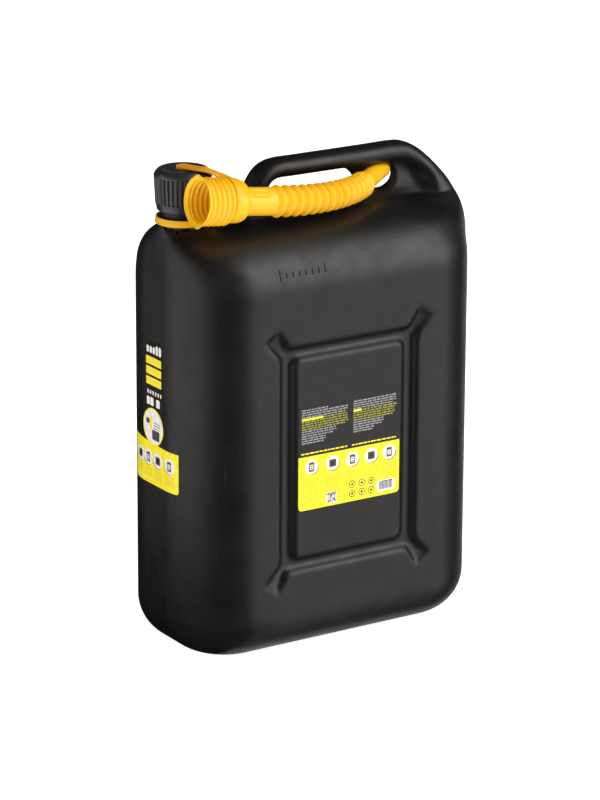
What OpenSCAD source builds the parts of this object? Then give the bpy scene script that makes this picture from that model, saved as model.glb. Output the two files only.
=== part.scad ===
// A 25 litre jerry can: a blow-moulded tank with a carrying handle and a threaded
// filler neck, a screw cap held by a tether, and a flexible pouring spout that
// is stowed beside the cap with its nozzle in the eyelet of the handle's web.
// The origin is the centre of the base, on the ground.  X runs along the long
// side towards the eyelet, Y runs to the back and Z is up.  Millimetres.

/* [Tank] */
// Length of the tank along X
body_w = 368; // [350:2:386]
// Depth of the tank along Y
body_d = 184; // [176:2:192]
// Height of the top of the handle
top_z = 525; // [522:1:530]
// Height of the roof that the neck and the handle stand on
roof_z = 469; // [466:1:469]
// Height at which the sides start to round over into the roof
shoulder_z = 403; // [390:1:415]
// Rounding of the four upright edges
edge_r = 72; // [60:1:80]
// Rounding of the edge round the base
foot_r = 50; // [35:1:55]
// Thickness of the moulded wall
wall = 2.4; // [2:0.2:3]

/* [Panel channel] */
// Half the width of the raised label panel
panel_half_w = 65.5; // [60:0.5:68]
// Half the height of the raised label panel
panel_half_h = 107.5; // [100:0.5:112]
// Height of the panel's centre
panel_z = 220; // [215:1:225]
// Width of the channel at the panel's sides
channel_w = 22.5; // [18:0.5:24]
// Width of the channel above and below the panel
channel_h = 19.5; // [16:0.5:22]
// Depth of the channel
channel_depth = 6; // [4:0.5:7]

/* [Handle] */
// Half the height of the handle's grip
grip_half_h = 11; // [10:0.5:12]
// Half the depth of the handle's grip
grip_half_d = 14.8; // [13:0.1:16]
// Half the thickness of the pinched web round the eyelet
web_half_t = 4.3; // [3.5:0.1:4.5]
// Radius of the eyelet that takes the nozzle
eyelet_r = 19; // [18.5:0.5:19.5]

/* [Neck and cap] */
// Distance of the neck's axis from the middle of the tank
neck_offset = 149; // [147:1:150]
// Radius of the filler bore
bore_r = 19.5; // [18:0.5:20.5]
// Radius of the neck under its thread
neck_r = 23.2; // [23:0.1:23.4]
// Radius over the neck's thread
thread_r = 25; // [24.8:0.1:25.1]
// Distance that the cap rises in one turn
thread_pitch = 6; // [5.5:0.5:6]
// Outer radius of the cap's grip
cap_r = 30.6; // [30:0.2:31]
// Height of the cap
cap_h = 42; // [41:0.5:42]
// Number of flutes round the cap
flute_count = 36; // [24:2:40]

/* [Spout] */
// Distance of the spout's axis in front of the middle of the tank
spout_front = 57; // [57:0.5:60]
// Height of the middle of the socket's mouth
mouth_z = 507; // [505:0.5:510]
// Fall of the stowed spout towards the eyelet, in degrees
spout_fall = 7.4; // [6.5:0.1:8]
// Outer radius of the socket's ridges
socket_r = 25; // [24.6:0.1:25.4]
// Outer radius of the tube between socket and bellows
tube_r = 14.9; // [14.5:0.1:15.2]
// Number of folds in the bellows
fold_count = 14; // [11:1:16]
// Outer radius of the nozzle's tip
nozzle_r = 9; // [8.5:0.1:9.2]

/* [Hidden] */

black = "#1d1c1b";
yellow = "#ffcf1a";
strap_yellow = "#e9a51b";
label_yellow = "#f2e11c";
rubber = "#2c2c2e";

half_w = body_w / 2;
half_d = body_d / 2;
side_flat = half_d - edge_r;

// The right-hand end of the tank follows a full ellipse up to the handle.
fin_z = 444;
fin_x = 106;
fin_power = 1.8;
// The left-hand end turns over beside the neck in a tall, shallow curve.
lip_w = 16;
lip_h = 42;
// Half the thickness of the ridge that the roof narrows to
ridge_t = 17;
loft_steps = 9;
channel_bevel = 5;
// Where the handle's post leaves the roof, and its bend into the grip
post_line = [[-86, 452], [-58, 499], [-50, 509]];
grip_left = -39;
// Left-hand edge of the web, and how far its foot is sunk into the roof
web_left = 62;
web_sink = 12;

neck_x = -neck_offset;
neck_foot_z = 455;
neck_seat_z = 479;
neck_top_z = 522;
neck_foot_r = 26.4;
seat_gap = 0.1;
neck_thread_z = 494;
thread_turns = 2.25;
cap_top_z = 527;
cap_bore_r = thread_r + 0.35;
cap_plate = 3.1;
cap_taper_h = 9;
cap_flute_r = 1.3;
cap_seal_boss_r = 7;
gasket_t = 1.8;
gasket_gap = 0.02;
gasket_hole_r = 13;
stud_pin_r = 3.25;
stud_pin_gap = 0.05;
stud_z = cap_top_z + 0.3;
stud_t = 2.8;
stud_r = 7;
stud_pin_len = 2.2;
collar_z = roof_z + 1.6;
collar_h = 7;
collar_r = 29;
collar_gap = 0.4;
ring_out_r = 21;
ring_grip_r = 18;
// Half the room left between the strap and what it lies on
strap_gap = 0.05;
strap_w = 11;
strap_widening = 3;
strap_steps = 10;

// Stations along the spout, measured from the socket's mouth
socket_len = 34;
ring_len = 20;
tube_end = 91;
spout_wall = 1.8;
lip_r = socket_r + 1.5;
lip_len = 4;
shoulder_r = 17.6;
mouth = [-166.5, -spout_front, mouth_z];
spout_dir = [cos(spout_fall), 0, -sin(spout_fall)];
fold_depth = 1.4;
bellows_r = 15.4;
bellows_taper = 3;
bellows_sides = 24;
rings_per_fold = 4;
// Shares of the bellows' length where the flexing rear stretch ends and the front one starts
flex_rear = 0.46;
flex_front = 0.54;
stretch_gap = 0.002;

// The nozzle points back through the eyelet.
eyelet = [97, 0, 489];
nozzle_heading = 41;
nozzle_rise = 6;
nozzle_len = 58;
nozzle_base_r = 11.6;
nozzle_tip = [105, 5.5, 491];
nozzle_dir = [
  cos(nozzle_heading) * cos(nozzle_rise),
  sin(nozzle_heading) * cos(nozzle_rise),
  sin(nozzle_rise)
];
bellows_start = mouth + tube_end * spout_dir;
bellows_end = nozzle_tip - nozzle_len * nozzle_dir;
bellows_curve = [
  bellows_start,
  bellows_start + 55 * spout_dir,
  bellows_end - 38 * nozzle_dir,
  bellows_end
];

// ---------------------------------------------------------------- the tank

// How far the rounded base draws the sides in at height z, for a skin inset by t
function foot_inset(z, t) =
  let (r = foot_r - t, up = z - t) up < r ? r - sqrt(r * r - pow(r - up, 2)) : 0;

// Share of full size left at height z on a quarter ellipse from low to high
function dome(z, low, high) =
  z <= low ? 1 : sqrt(max(0, 1 - pow((z - low) / (high - low), 2)));

// The same on the fuller curve of the right-hand end
function full_dome(z, low, high) =
  z <= low ? 1 : pow(max(0, 1 - pow((z - low) / (high - low), fin_power)), 1 / fin_power);

function half_depth(z, t) =
  z <= shoulder_z
    ? half_d - t - foot_inset(z, t)
    : ridge_t - t + (half_d - ridge_t) * dome(z, shoulder_z, roof_z - t);

function right_end(z, t) =
  z <= fin_z
    ? half_w - t - foot_inset(z, t)
    : fin_x + (half_w - t - fin_x) * full_dome(z, fin_z, top_z - t);

function left_end(z, t) =
  let (start = roof_z - lip_h)
  z <= start
    ? half_w - t - foot_inset(z, t)
    : half_w - lip_w + (lip_w - t) * dome(z, start, roof_z - t);

// One level of the tank: a rectangle with elliptical corners
function tank_ring(z, t) =
  let (
    d = half_depth(z, t),
    ends = [right_end(z, t), left_end(z, t)],
    rx = edge_r - t - foot_inset(z, t),
    ry = z <= shoulder_z ? rx : d * edge_r / half_d
  )
  [for (corner = [0:3]) for (step = [0:loft_steps])
    let (
      a = 90 * (corner + step / loft_steps),
      end = ends[corner == 0 || corner == 3 ? 0 : 1],
      sx = corner == 0 || corner == 3 ? 1 : -1,
      sy = corner < 2 ? 1 : -1
    )
    [sx * (end - rx) + rx * cos(a), sy * (d - ry) + ry * sin(a), z]
  ];

// Levels from the base to the roof, closer together where the sides curve
function tank_levels(t) = concat(
  [for (i = [0:6]) t + (foot_r - t) * (1 - cos(15 * i))],
  [for (i = [0:9]) shoulder_z + (roof_z - t - shoulder_z) * sin(10 * i)]
);

// A closed solid through rings of points that all have the same count
module skin(rings) {
  n = len(rings[0]);
  last = len(rings) - 1;
  polyhedron(
    points = [for (ring = rings) each ring],
    faces = concat(
      [[for (i = [0:n - 1]) i]],
      [for (k = [0:last - 1]) for (i = [0:n - 1])
        let (j = (i + 1) % n)
        each [
          [k * n + i, (k + 1) * n + i, (k + 1) * n + j],
          [k * n + i, (k + 1) * n + j, k * n + j]
        ]
      ],
      [[for (i = [n - 1:-1:0]) last * n + i]]
    ),
    convexity = 6
  );
}

module tank_loft(t) {
  skin([for (z = tank_levels(t)) tank_ring(z, t)]);
}

// One trough of the panel channel, cut into a face at z = 0 from above
module trough(outline, grow) {
  hull() {
    linear_extrude(1) offset(delta = grow) polygon(outline);
    translate([0, 0, -channel_depth - grow])
      linear_extrude(0.01) offset(delta = grow - channel_bevel) polygon(outline);
  }
}

// The channel round the label panel, with its four flared arms, front and back
module panel_channel(grow) {
  out_w = panel_half_w + channel_w;
  out_h = panel_half_h + channel_h;
  side = [[panel_half_w, -out_h], [out_w, -out_h], [out_w, out_h], [panel_half_w, out_h]];
  rail = [[-out_w, panel_half_h], [out_w, panel_half_h], [out_w, out_h], [-out_w, out_h]];
  arm = [
    [out_w - 17, out_h - 6], [out_w + 10, out_h + 27], [out_w + 17, out_h + 25],
    [out_w + 17, out_h + 7], [out_w - 4, out_h - 14]
  ];
  for (face = [0, 180]) rotate([0, 0, face]) translate([0, -half_d, panel_z]) rotate([90, 0, 0]) {
    for (flip = [0, 1]) {
      mirror([flip, 0, 0]) trough(side, grow);
      mirror([0, flip, 0]) trough(rail, grow);
      for (turn = [0, 1]) mirror([flip, 0, 0]) mirror([0, turn, 0]) trough(arm, grow);
    }
  }
}

// The rim that falls from the grip along the tank's right-hand end
function rim_line() =
  let (rim_x = half_w - fin_x - grip_half_h, rim_z = top_z - grip_half_h - fin_z)
  [for (a = [90:-15:0])
    [fin_x + rim_x * pow(cos(a), 2 / fin_power), fin_z + rim_z * pow(sin(a), 2 / fin_power)]
  ];

// Centre line of the handle in the XZ plane: the raked post, the level grip and the rim
function handle_line() = concat(
  post_line,
  [[grip_left, top_z - grip_half_h]],
  rim_line(),
  [[half_w - 14, 420]]
);

module handle_sweep(t) {
  line = handle_line();
  for (i = [0:len(line) - 2])
    hull()
      for (p = [line[i], line[i + 1]])
        translate([p[0], 0, p[1]])
          scale([grip_half_h - t, grip_half_d - t, grip_half_h - t])
            sphere(r = 1, $fn = 20);
}

// The pinched web between the grip's right-hand half, its rim and the roof
module handle_web() {
  outline = concat(
    [[web_left, roof_z - web_sink], [web_left, top_z - grip_half_h]],
    rim_line(),
    [[half_w - web_sink, fin_z - web_sink - 3]]
  );
  difference() {
    rotate([90, 0, 0]) linear_extrude(2 * web_half_t, center = true) polygon(outline);
    translate(eyelet) rotate([90, 0, 0])
      cylinder(h = 4 * grip_half_d, r = eyelet_r, center = true, $fn = 48);
  }
}

module tank() {
  color(black) difference() {
    union() {
      difference() {
        tank_loft(0);
        panel_channel(0);
      }
      handle_sweep(0);
      handle_web();
    }
    difference() {
      tank_loft(wall);
      panel_channel(wall);
    }
    handle_sweep(wall);
    translate([neck_x, 0, neck_foot_z - 10])
      cylinder(h = 40, r = neck_foot_r + seat_gap, $fn = 64);
  }
}

// ------------------------------------------------------------ neck and cap

// A thread ridge from root to crest radius, fading out over its last sixth of a turn
module thread_ridge(root, crest, root_w, crest_w, turns) {
  per_turn = 30;
  n = round(per_turn * turns);
  fade = per_turn / 6;
  rings = [for (i = [0:n])
    let (
      a = 360 * i / per_turn,
      z = thread_pitch * i / per_turn,
      full = min(1, (i + 0.5) / fade, (n - i + 0.5) / fade),
      r = root + (crest - root) * full
    )
    [for (p = [[root, -root_w / 2], [r, -crest_w / 2], [r, crest_w / 2], [root, root_w / 2]])
      [p[0] * cos(a), p[0] * sin(a), z + p[1]]]
  ];
  skin(crest < root ? rings : [for (ring = rings) [for (k = [3:-1:0]) ring[k]]]);
}

module filler_neck() {
  base_z = neck_foot_z;
  color(black) translate([neck_x, 0, 0]) {
    rotate_extrude($fn = 96) polygon([
      [bore_r, base_z], [neck_foot_r, base_z], [neck_foot_r, neck_seat_z - 1],
      [neck_foot_r - 1, neck_seat_z], [neck_r, neck_seat_z], [neck_r, neck_top_z - 1],
      [neck_r - 1, neck_top_z], [bore_r, neck_top_z]
    ]);
    translate([0, 0, neck_thread_z]) thread_ridge(neck_r - 0.4, thread_r, 3, 1.4, thread_turns);
  }
}

module screw_cap() {
  floor_z = cap_top_z - cap_h;
  ceiling_z = cap_top_z - cap_plate;
  skirt_r = cap_r - 2.4;
  grip_z = floor_z + cap_taper_h + 2;
  color(black) translate([neck_x, 0, 0]) {
    difference() {
      rotate_extrude($fn = 128) polygon([
        [0, floor_z], [cap_bore_r + 1.8, floor_z], [skirt_r, floor_z + 6],
        [skirt_r, floor_z + cap_taper_h], [cap_r - 1.2, grip_z], [cap_r, cap_top_z - 6],
        [cap_r - 0.4, cap_top_z - 2.5], [cap_r - 2.6, cap_top_z], [0, cap_top_z]
      ]);
      translate([0, 0, floor_z - 1])
        cylinder(h = ceiling_z - floor_z + 1, r = cap_bore_r, $fn = 96);
      for (i = [0:flute_count - 1])
        rotate([0, 0, 360 * i / flute_count])
          translate([cap_r + 0.1, 0, grip_z + 1])
            cylinder(h = cap_top_z - grip_z - 8, r = cap_flute_r, $fn = 16);
      translate([0, 0, cap_top_z - stud_pin_len])
        cylinder(h = 5, r = stud_pin_r + stud_pin_gap, $fn = 48);
    }
    translate([0, 0, ceiling_z - 1.4]) cylinder(h = 2, r = cap_seal_boss_r, $fn = 48);
    translate([0, 0, neck_thread_z - thread_pitch / 2])
      thread_ridge(cap_bore_r + 0.4, neck_r + 0.4, 3, 1.4, thread_turns);
  }
}

module cap_gasket() {
  color(rubber) translate([neck_x, 0, neck_top_z + gasket_gap]) difference() {
    cylinder(h = gasket_t, r = thread_r - 0.4, $fn = 96);
    translate([0, 0, -1]) cylinder(h = gasket_t + 2, r = gasket_hole_r, $fn = 64);
  }
}

// -------------------------------------------------------------- the tether

// Puts the child's Z axis on the spout's axis, with z = 0 at the socket's mouth
module on_spout() {
  translate(mouth) rotate([0, 90 + spout_fall, 0]) children();
}

module tether_stud() {
  color(strap_yellow) translate([neck_x, 0, stud_z]) {
    cylinder(h = stud_t, r = stud_r, $fn = 48);
    translate([0, 0, -stud_pin_len]) cylinder(h = stud_pin_len + 0.2, r = stud_pin_r, $fn = 48);
  }
}

// Points on a cubic curve with four control points
function curve_point(c, t) =
  pow(1 - t, 3) * c[0] + 3 * pow(1 - t, 2) * t * c[1] + 3 * (1 - t) * t * t * c[2] + pow(t, 3) * c[3];

function curve_slope(c, t) =
  let (v = pow(1 - t, 2) * (c[1] - c[0]) + 2 * (1 - t) * t * (c[2] - c[1]) + t * t * (c[3] - c[2]))
  v / norm(v);

ring_mid = mouth + (socket_len + ring_len * 0.45) * spout_dir;

// The strap leaves the stud over the cap's edge and runs on to the top of the spout's ring.
module tether_strap() {
  top = ring_mid + [0, 0, ring_out_r];
  hub = [neck_x, 0, stud_z + stud_t / 2];
  way = [top[0] - hub[0], top[1] - hub[1], 0] / norm([top[0] - hub[0], top[1] - hub[1]]);
  start = hub + (stud_r + 0.3) * way;
  run = [start, start + 22 * way, top + [-2, 18, 4.5], top + [0, 1, -1.2]];
  color(strap_yellow) difference() {
    for (i = [0:strap_steps - 1])
      hull()
        for (t = [i / strap_steps, (i + 1) / strap_steps])
          translate(curve_point(run, t))
            rotate([0, 0, atan2(way[1], way[0])])
              cube([0.6, strap_w + strap_widening * t, stud_t], center = true);
    translate([neck_x, 0, cap_top_z - cap_h])
      cylinder(h = cap_h + strap_gap, r = cap_r + strap_gap, $fn = 96);
    on_spout() cylinder(h = socket_len + strap_gap, r = lip_r + strap_gap, $fn = 96);
    on_spout() cylinder(h = socket_len + ring_len, r = ring_out_r + strap_gap, $fn = 96);
  }
}

module tether_loops() {
  collar_mid_z = collar_z + collar_h / 2;
  link_angle = -38;
  link_r = neck_foot_r + 2.4;
  link_from = [neck_x + link_r * cos(link_angle), link_r * sin(link_angle), collar_mid_z];
  link_to = ring_mid + [-1, 14.2, -13.4];
  ring_profile = [
    [ring_grip_r, 0], [ring_out_r - 1, 0], [ring_out_r, 1.5], [ring_out_r, ring_len * 0.55],
    [ring_out_r - 1.6, ring_len * 0.8], [16.8, ring_len - 0.6], [15.3, ring_len - 0.6],
    [ring_grip_r, ring_len * 0.7]
  ];
  color(yellow) {
    translate([neck_x, 0, collar_z]) difference() {
      cylinder(h = collar_h, r = collar_r, $fn = 96);
      translate([0, 0, -1]) cylinder(h = collar_h + 2, r = neck_foot_r + collar_gap, $fn = 96);
    }
    on_spout() translate([0, 0, socket_len + 0.6]) rotate_extrude($fn = 96) polygon(ring_profile);
    hull() {
      translate(link_from) rotate([0, 0, link_angle]) cube([2.4, 9, 6], center = true);
      translate(link_to) rotate([45, 0, 0]) cube([9, 3, 3], center = true);
    }
  }
}

// --------------------------------------------------------------- the spout

module spout_socket() {
  ridges = 5;
  step = (socket_len - lip_len) / ridges;
  valley_r = socket_r - 1.5;
  ring_end = socket_len + ring_len;
  lip = [[lip_r, 0], [lip_r, 1.2], [valley_r, 3.2]];
  screw = [for (i = [0:ridges - 1]) each [
    [socket_r, lip_len + step * (i + 0.35)], [socket_r, lip_len + step * (i + 0.55)],
    [valley_r, lip_len + step * (i + 0.95)]
  ]];
  shoulder = [
    [shoulder_r, socket_len + 0.4], [shoulder_r, socket_len + 13], [tube_r, ring_end],
    [tube_r, tube_end]
  ];
  inner_shoulder = [
    [tube_r - spout_wall, tube_end], [tube_r - spout_wall, ring_end - 1],
    [shoulder_r - spout_wall, socket_len + 12], [shoulder_r - spout_wall, socket_len - 0.6]
  ];
  inner_screw = [for (i = [len(screw) - 1:-1:0]) screw[i] - [spout_wall, 0]];
  inner_lip = [[valley_r - spout_wall, 3.2], [lip_r - spout_wall, 1.2], [lip_r - spout_wall, 0]];
  color(yellow) on_spout() rotate_extrude($fn = 96)
    polygon(concat(lip, screw, shoulder, inner_shoulder, inner_screw, inner_lip));
}

// Rings round a stretch of the bellows' curve, folding in and out
function bellows_rings(from, to, t) =
  let (n = round((to - from) * fold_count * rings_per_fold))
  [for (i = [0:n])
    let (
      u = from + (to - from) * i / n,
      p = curve_point(bellows_curve, u),
      along = curve_slope(bellows_curve, u),
      side = cross([0, 0, 1], along) / norm(cross([0, 0, 1], along)),
      up = cross(along, side),
      r = bellows_r - bellows_taper * u - fold_depth * cos(360 * u * fold_count) - t
    )
    [for (k = [0:bellows_sides - 1])
      let (a = 360 * k / bellows_sides) p + r * (cos(a) * side + sin(a) * up)]
  ];

// One stretch of the bellows: the two end stretches flex and the middle one stays as it is
module bellows_stretch(from, to) {
  eps = 2 * stretch_gap;
  color(yellow) difference() {
    skin(bellows_rings(from, to, 0));
    skin(bellows_rings(from - eps, to + eps, spout_wall));
  }
}

module spout_bellows_rear() { bellows_stretch(stretch_gap, flex_rear); }
module spout_bellows_middle() { bellows_stretch(flex_rear + stretch_gap, flex_front - stretch_gap); }
module spout_bellows_front() { bellows_stretch(flex_front, 1 - stretch_gap); }

module spout_nozzle() {
  flare_r = nozzle_base_r + 0.8;
  color(yellow) translate(bellows_end)
    rotate([0, 90 - nozzle_rise, nozzle_heading]) rotate_extrude($fn = 64) polygon([
      [nozzle_base_r - spout_wall, 0.3], [flare_r, 0.3], [flare_r, 3], [nozzle_r + 1.4, 14],
      [nozzle_r + 0.9, 32], [nozzle_r, nozzle_len], [nozzle_r - spout_wall, nozzle_len],
      [nozzle_r + 0.9 - spout_wall, 32], [nozzle_base_r - spout_wall, 6]
    ]);
}

// -------------------------------------------------------------- the labels

label_t = 0.25;

module label_front() {
  w = 128;
  low = 162.5;
  high = 277;
  r = 5;
  color(label_yellow) translate([0, -half_d, 0]) rotate([90, 0, 0]) linear_extrude(label_t)
    difference() {
      translate([-w / 2, low]) square([w, high - low]);
      for (x = [-1, 1]) for (z = [[low, 1], [high, -1]])
        translate([x * (w / 2 - r), z[0] + z[1] * r]) difference() {
          translate([x > 0 ? 0 : -r - 1, z[1] > 0 ? -r - 1 : 0]) square(r + 1);
          circle(r, $fn = 48);
        }
    }
}

// The end label wraps round the left-hand end and is wider at its foot.
module label_end() {
  low = 187;
  high = 345;
  tall = high - low;
  // Half widths at the foot, where the sides turn in, and at the top
  outline = [[44, low], [44, 237], [20, 280], [17, high]];
  color(label_yellow) intersection() {
    translate([0, 0, low]) union() {
      for (y = [-1, 1]) translate([edge_r - half_w, y * side_flat, 0]) difference() {
        cylinder(h = tall, r = edge_r + label_t, $fn = 128);
        translate([0, 0, -1]) cylinder(h = tall + 2, r = edge_r, $fn = 128);
        translate([-edge_r - 5, y > 0 ? -2 * edge_r : 0, -1])
          cube([3 * edge_r, 2 * edge_r, tall + 2]);
      }
      translate([-half_w - label_t, -side_flat, 0]) cube([label_t, 2 * side_flat, tall]);
    }
    translate([-half_w - 5, 0, 0]) rotate([90, 0, 90]) linear_extrude(40)
      polygon(concat(outline, [for (i = [len(outline) - 1:-1:0]) [-outline[i][0], outline[i][1]]]));
  }
}

tank();
filler_neck();
screw_cap();
cap_gasket();
tether_stud();
tether_strap();
tether_loops();
spout_socket();
spout_bellows_rear();
spout_bellows_middle();
spout_bellows_front();
spout_nozzle();
label_front();
label_end();
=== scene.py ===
"""The looks of a 25 litre jerry can with a tethered screw cap and a flexible spout.

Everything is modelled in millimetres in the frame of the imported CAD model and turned
into metres as each mesh is made.  X runs from the filler neck towards the eyelet, Y to
the back and Z up.
"""

import math
import random
from functools import partial
from itertools import combinations

import bmesh
import bpy
import numpy as np
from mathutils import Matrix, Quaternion, Vector


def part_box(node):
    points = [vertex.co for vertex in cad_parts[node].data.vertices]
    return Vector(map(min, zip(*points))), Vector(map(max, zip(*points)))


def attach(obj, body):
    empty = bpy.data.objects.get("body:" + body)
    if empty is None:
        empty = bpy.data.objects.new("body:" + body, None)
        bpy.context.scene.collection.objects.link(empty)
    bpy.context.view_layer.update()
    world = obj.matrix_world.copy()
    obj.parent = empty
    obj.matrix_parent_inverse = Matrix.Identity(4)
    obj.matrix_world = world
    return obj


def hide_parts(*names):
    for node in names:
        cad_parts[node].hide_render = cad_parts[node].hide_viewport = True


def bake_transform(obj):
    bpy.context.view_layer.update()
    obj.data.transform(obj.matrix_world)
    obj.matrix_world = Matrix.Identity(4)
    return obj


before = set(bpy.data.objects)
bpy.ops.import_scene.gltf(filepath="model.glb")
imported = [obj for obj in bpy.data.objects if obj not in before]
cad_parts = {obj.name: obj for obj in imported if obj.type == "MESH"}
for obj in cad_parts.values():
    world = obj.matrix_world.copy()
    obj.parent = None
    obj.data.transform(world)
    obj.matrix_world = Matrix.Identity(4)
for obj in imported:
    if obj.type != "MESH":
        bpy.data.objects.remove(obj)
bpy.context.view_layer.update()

MM = 0.001

# ---- sizes, in millimetres


def corners(node):
    """A CAD node's lowest and highest corners in millimetres."""
    return [np.array(corner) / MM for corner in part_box(node)]


def towards(heading, rise):
    """A direction from its heading, from X towards Y, and its rise above the level."""
    level = math.cos(rise)
    return np.array([math.cos(heading) * level, math.sin(heading) * level, math.sin(rise)])


tank_low, tank_high = corners("tank")
neck_low, neck_high = corners("filler_neck")
cap_low, cap_high = corners("screw_cap")
stud_low, stud_high = corners("tether_stud")
front_low, front_high = corners("label_front")
end_low, end_high = corners("label_end")

HALF_W = tank_high[0]
HALF_D = tank_high[1]
TOP_Z = 525.0
ROOF_Z = 469.0
SHOULDER_Z = 403.0
EDGE_R = 72.0
FOOT_R = 48.0
SIDE_FLAT = HALF_D - EDGE_R
RIDGE_T = 17.0
# The rim's curve over the right end: where it starts, and its superellipse power.
FIN_X, FIN_Z, FIN_POWER = 115.0, 442.0, 1.72
# The left end's roll at its top
LIP_W, LIP_H = 16.0, 42.0
# How far the roof's face lies over ROOF_Z, and how far the shoulder is drawn in under the rim.
ROOF_PROUD, DRAWN_IN = 0.6, 16.0
# Above this height the handle's frame blends into the tank.
FRAME_LOW, FRAME_FULL = 378.0, 433.0
GRIP_HALF_H, GRIP_HALF_D = 11.0, 14.8
WEB_LEFT, WEB_HALF_T = 62.0, 5.0
EYELET = np.array([93.0, 0.0, 487.5])
EYELET_R = 20.0

PANEL_HALF_W, PANEL_HALF_H, PANEL_Z = 65.5, 107.5, 220.0
CHANNEL_W, CHANNEL_H, CHANNEL_DEPTH = 22.5, 19.5, 6.0

NECK_X = (neck_low[0] + neck_high[0]) / 2
NECK_FOOT_R = (neck_high[0] - neck_low[0]) / 2
CAP_R = (cap_high[0] - cap_low[0]) / 2
# The cap's top and the strap's hub stand a little above the CAD solids.
CAP_CROWN = 1.6

SPOUT_FALL = math.radians(7.4)
MOUTH = np.array([-166.5, -57.0, 507.0])
SPOUT_DIR = towards(0, -SPOUT_FALL)
SOCKET_LEN, RING_LEN, TUBE_END = 34.0, 20.0, 91.0
SOCKET_R, TUBE_R, SPOUT_WALL = 25.0, 14.9, 1.8
THREAD_PITCH = 6.0
BELLOWS_R, BELLOWS_TAPER, FOLD_DEPTH, FOLDS = 15.3, 2.6, 2.0, 14
NOZZLE_HEADING, NOZZLE_RISE = math.radians(36), math.radians(3.5)
NOZZLE_LEN, NOZZLE_R = 60.0, 9.6
NOZZLE_TIP = np.array([104.8, 6.5, 494.0])
NOZZLE_DIR = towards(NOZZLE_HEADING, NOZZLE_RISE)
CAP_RIBS, FLUTE_DEPTH = 36, 2.1
# The socket's two lip tabs and two seams lie at this angle and opposite it, in degrees.
TAB_TURN = 80


# ---- meshes


def new_mesh(name, points, faces, *materials, face_slots=None):
    """A smooth mesh object from points in millimetres."""
    mesh = bpy.data.meshes.new(name)
    mesh.from_pydata((np.asarray(points, float) * MM).tolist(), [], faces)
    mesh.polygons.foreach_set("use_smooth", [True] * len(mesh.polygons))
    for material in materials:
        mesh.materials.append(material)
    if face_slots is not None:
        mesh.polygons.foreach_set("material_index", face_slots)
    mesh.validate()
    mesh.update()
    piece = bpy.data.objects.new(name, mesh)
    bpy.context.scene.collection.objects.link(piece)
    return piece


def grid_faces(rows, columns, closed=True, looped=False):
    """Quads over points stored row by row; closed joins the last column to the first, and looped
    the last row to the first."""
    faces = []
    for i in range(rows if looped else rows - 1):
        row, next_row = i * columns, (i + 1) % rows * columns
        for j in range(columns if closed else columns - 1):
            k = (j + 1) % columns
            faces.append((row + j, row + k, next_row + k, next_row + j))
    return faces


def capped(rows, columns):
    """Quads over rows of points, with the first and last rows closed by a face each."""
    last = (rows - 1) * columns
    ends = [tuple(reversed(range(columns))), tuple(range(last, last + columns))]
    return grid_faces(rows, columns) + ends


def round_angles(count):
    return np.linspace(0, 2 * math.pi, count, endpoint=False)


def lathe(profile, segments, centre=(0.0,) * 3, radius_at=None, looped=False):
    """Points and faces of a profile of (radius, height) pairs turned round Z."""
    angles = round_angles(segments)
    rows = []
    for radius, height in profile:
        r = np.full(segments, float(radius))
        if radius_at is not None:
            r = radius_at(r, angles, height)
        rows.append(np.stack([r * np.cos(angles), r * np.sin(angles), np.full(segments, height)], 1))
    points = np.concatenate(rows) + np.array(centre)
    return points, grid_faces(len(profile), segments, looped=looped)


def arc(centre, radius, start, end, steps):
    """Profile points along an arc, with angles in degrees."""
    angles = np.radians(np.linspace(start, end, steps))
    return [(centre[0] + radius * math.cos(a), centre[1] + radius * math.sin(a)) for a in angles]


def placed(radius, height, points):
    """Profile points given from a corner at (radius, height)."""
    return [(radius + r, height + z) for r, z in points]


# ---- the tank as a field


def ramp(value, low, high):
    return np.clip((value - low) / (high - low), 0, 1)


def ease(value, low, high):
    t = ramp(value, low, high)
    return t * t * (3 - 2 * t)


def rounded_corner(u, v):
    """Distance outside a quadrant's corner, below zero inside it."""
    return np.hypot(np.maximum(u, 0), np.maximum(v, 0)) + np.minimum(np.maximum(u, v), 0)


def smooth_max(a, b, blend):
    near = np.maximum(blend - np.abs(a - b), 0) / blend
    return np.maximum(a, b) + near * near * blend / 4


def smooth_min(a, b, blend):
    return -smooth_max(-a, -b, blend)


def dome(z, low, high, power=2.0):
    """Share of full size left at height z on a quarter of an ellipse from low to high."""
    s = np.clip((z - low) / (high - low), 0, 0.99)
    return (1 - s**power) ** (1 / power)


def right_end(z):
    return FIN_X + (HALF_W - FIN_X) * dome(z, FIN_Z, TOP_Z, FIN_POWER)


def body_field(x, y, z):
    """The tank's body: rounded in plan, rolled at its foot and narrowed to a ridge at its roof."""
    left_end = HALF_W - LIP_W + LIP_W * dome(z, ROOF_Z - LIP_H, ROOF_Z)
    depth = (RIDGE_T + (HALF_D - RIDGE_T) * dome(z, SHOULDER_Z, ROOF_Z)) / HALF_D
    # Under the rim the shoulder is drawn in, so that the rim stands clear of it.
    drawn_in = DRAWN_IN * (1 - dome(z, SHOULDER_Z - 10, ROOF_Z + 6))
    right = right_end(z) - drawn_in
    u = np.where(x > 0, x + HALF_W - right, -x + HALF_W - left_end) - (HALF_W - EDGE_R)
    v = np.abs(y) / depth - SIDE_FLAT
    plan = (rounded_corner(u, v) - EDGE_R) * depth
    rolled = rounded_corner(plan + FOOT_R, FOOT_R - z) - FOOT_R
    # The roof's edge is softer where the web and the rim grow out of it.
    softness = 8 + 14 * ramp(x, 60, 110)
    return smooth_max(rolled, z - ROOF_Z - ROOF_PROUD, softness)


def box_2d(x, z, half_x, half_z, radius):
    return rounded_corner(np.abs(x) - half_x + radius, np.abs(z) - half_z + radius) - radius


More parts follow.
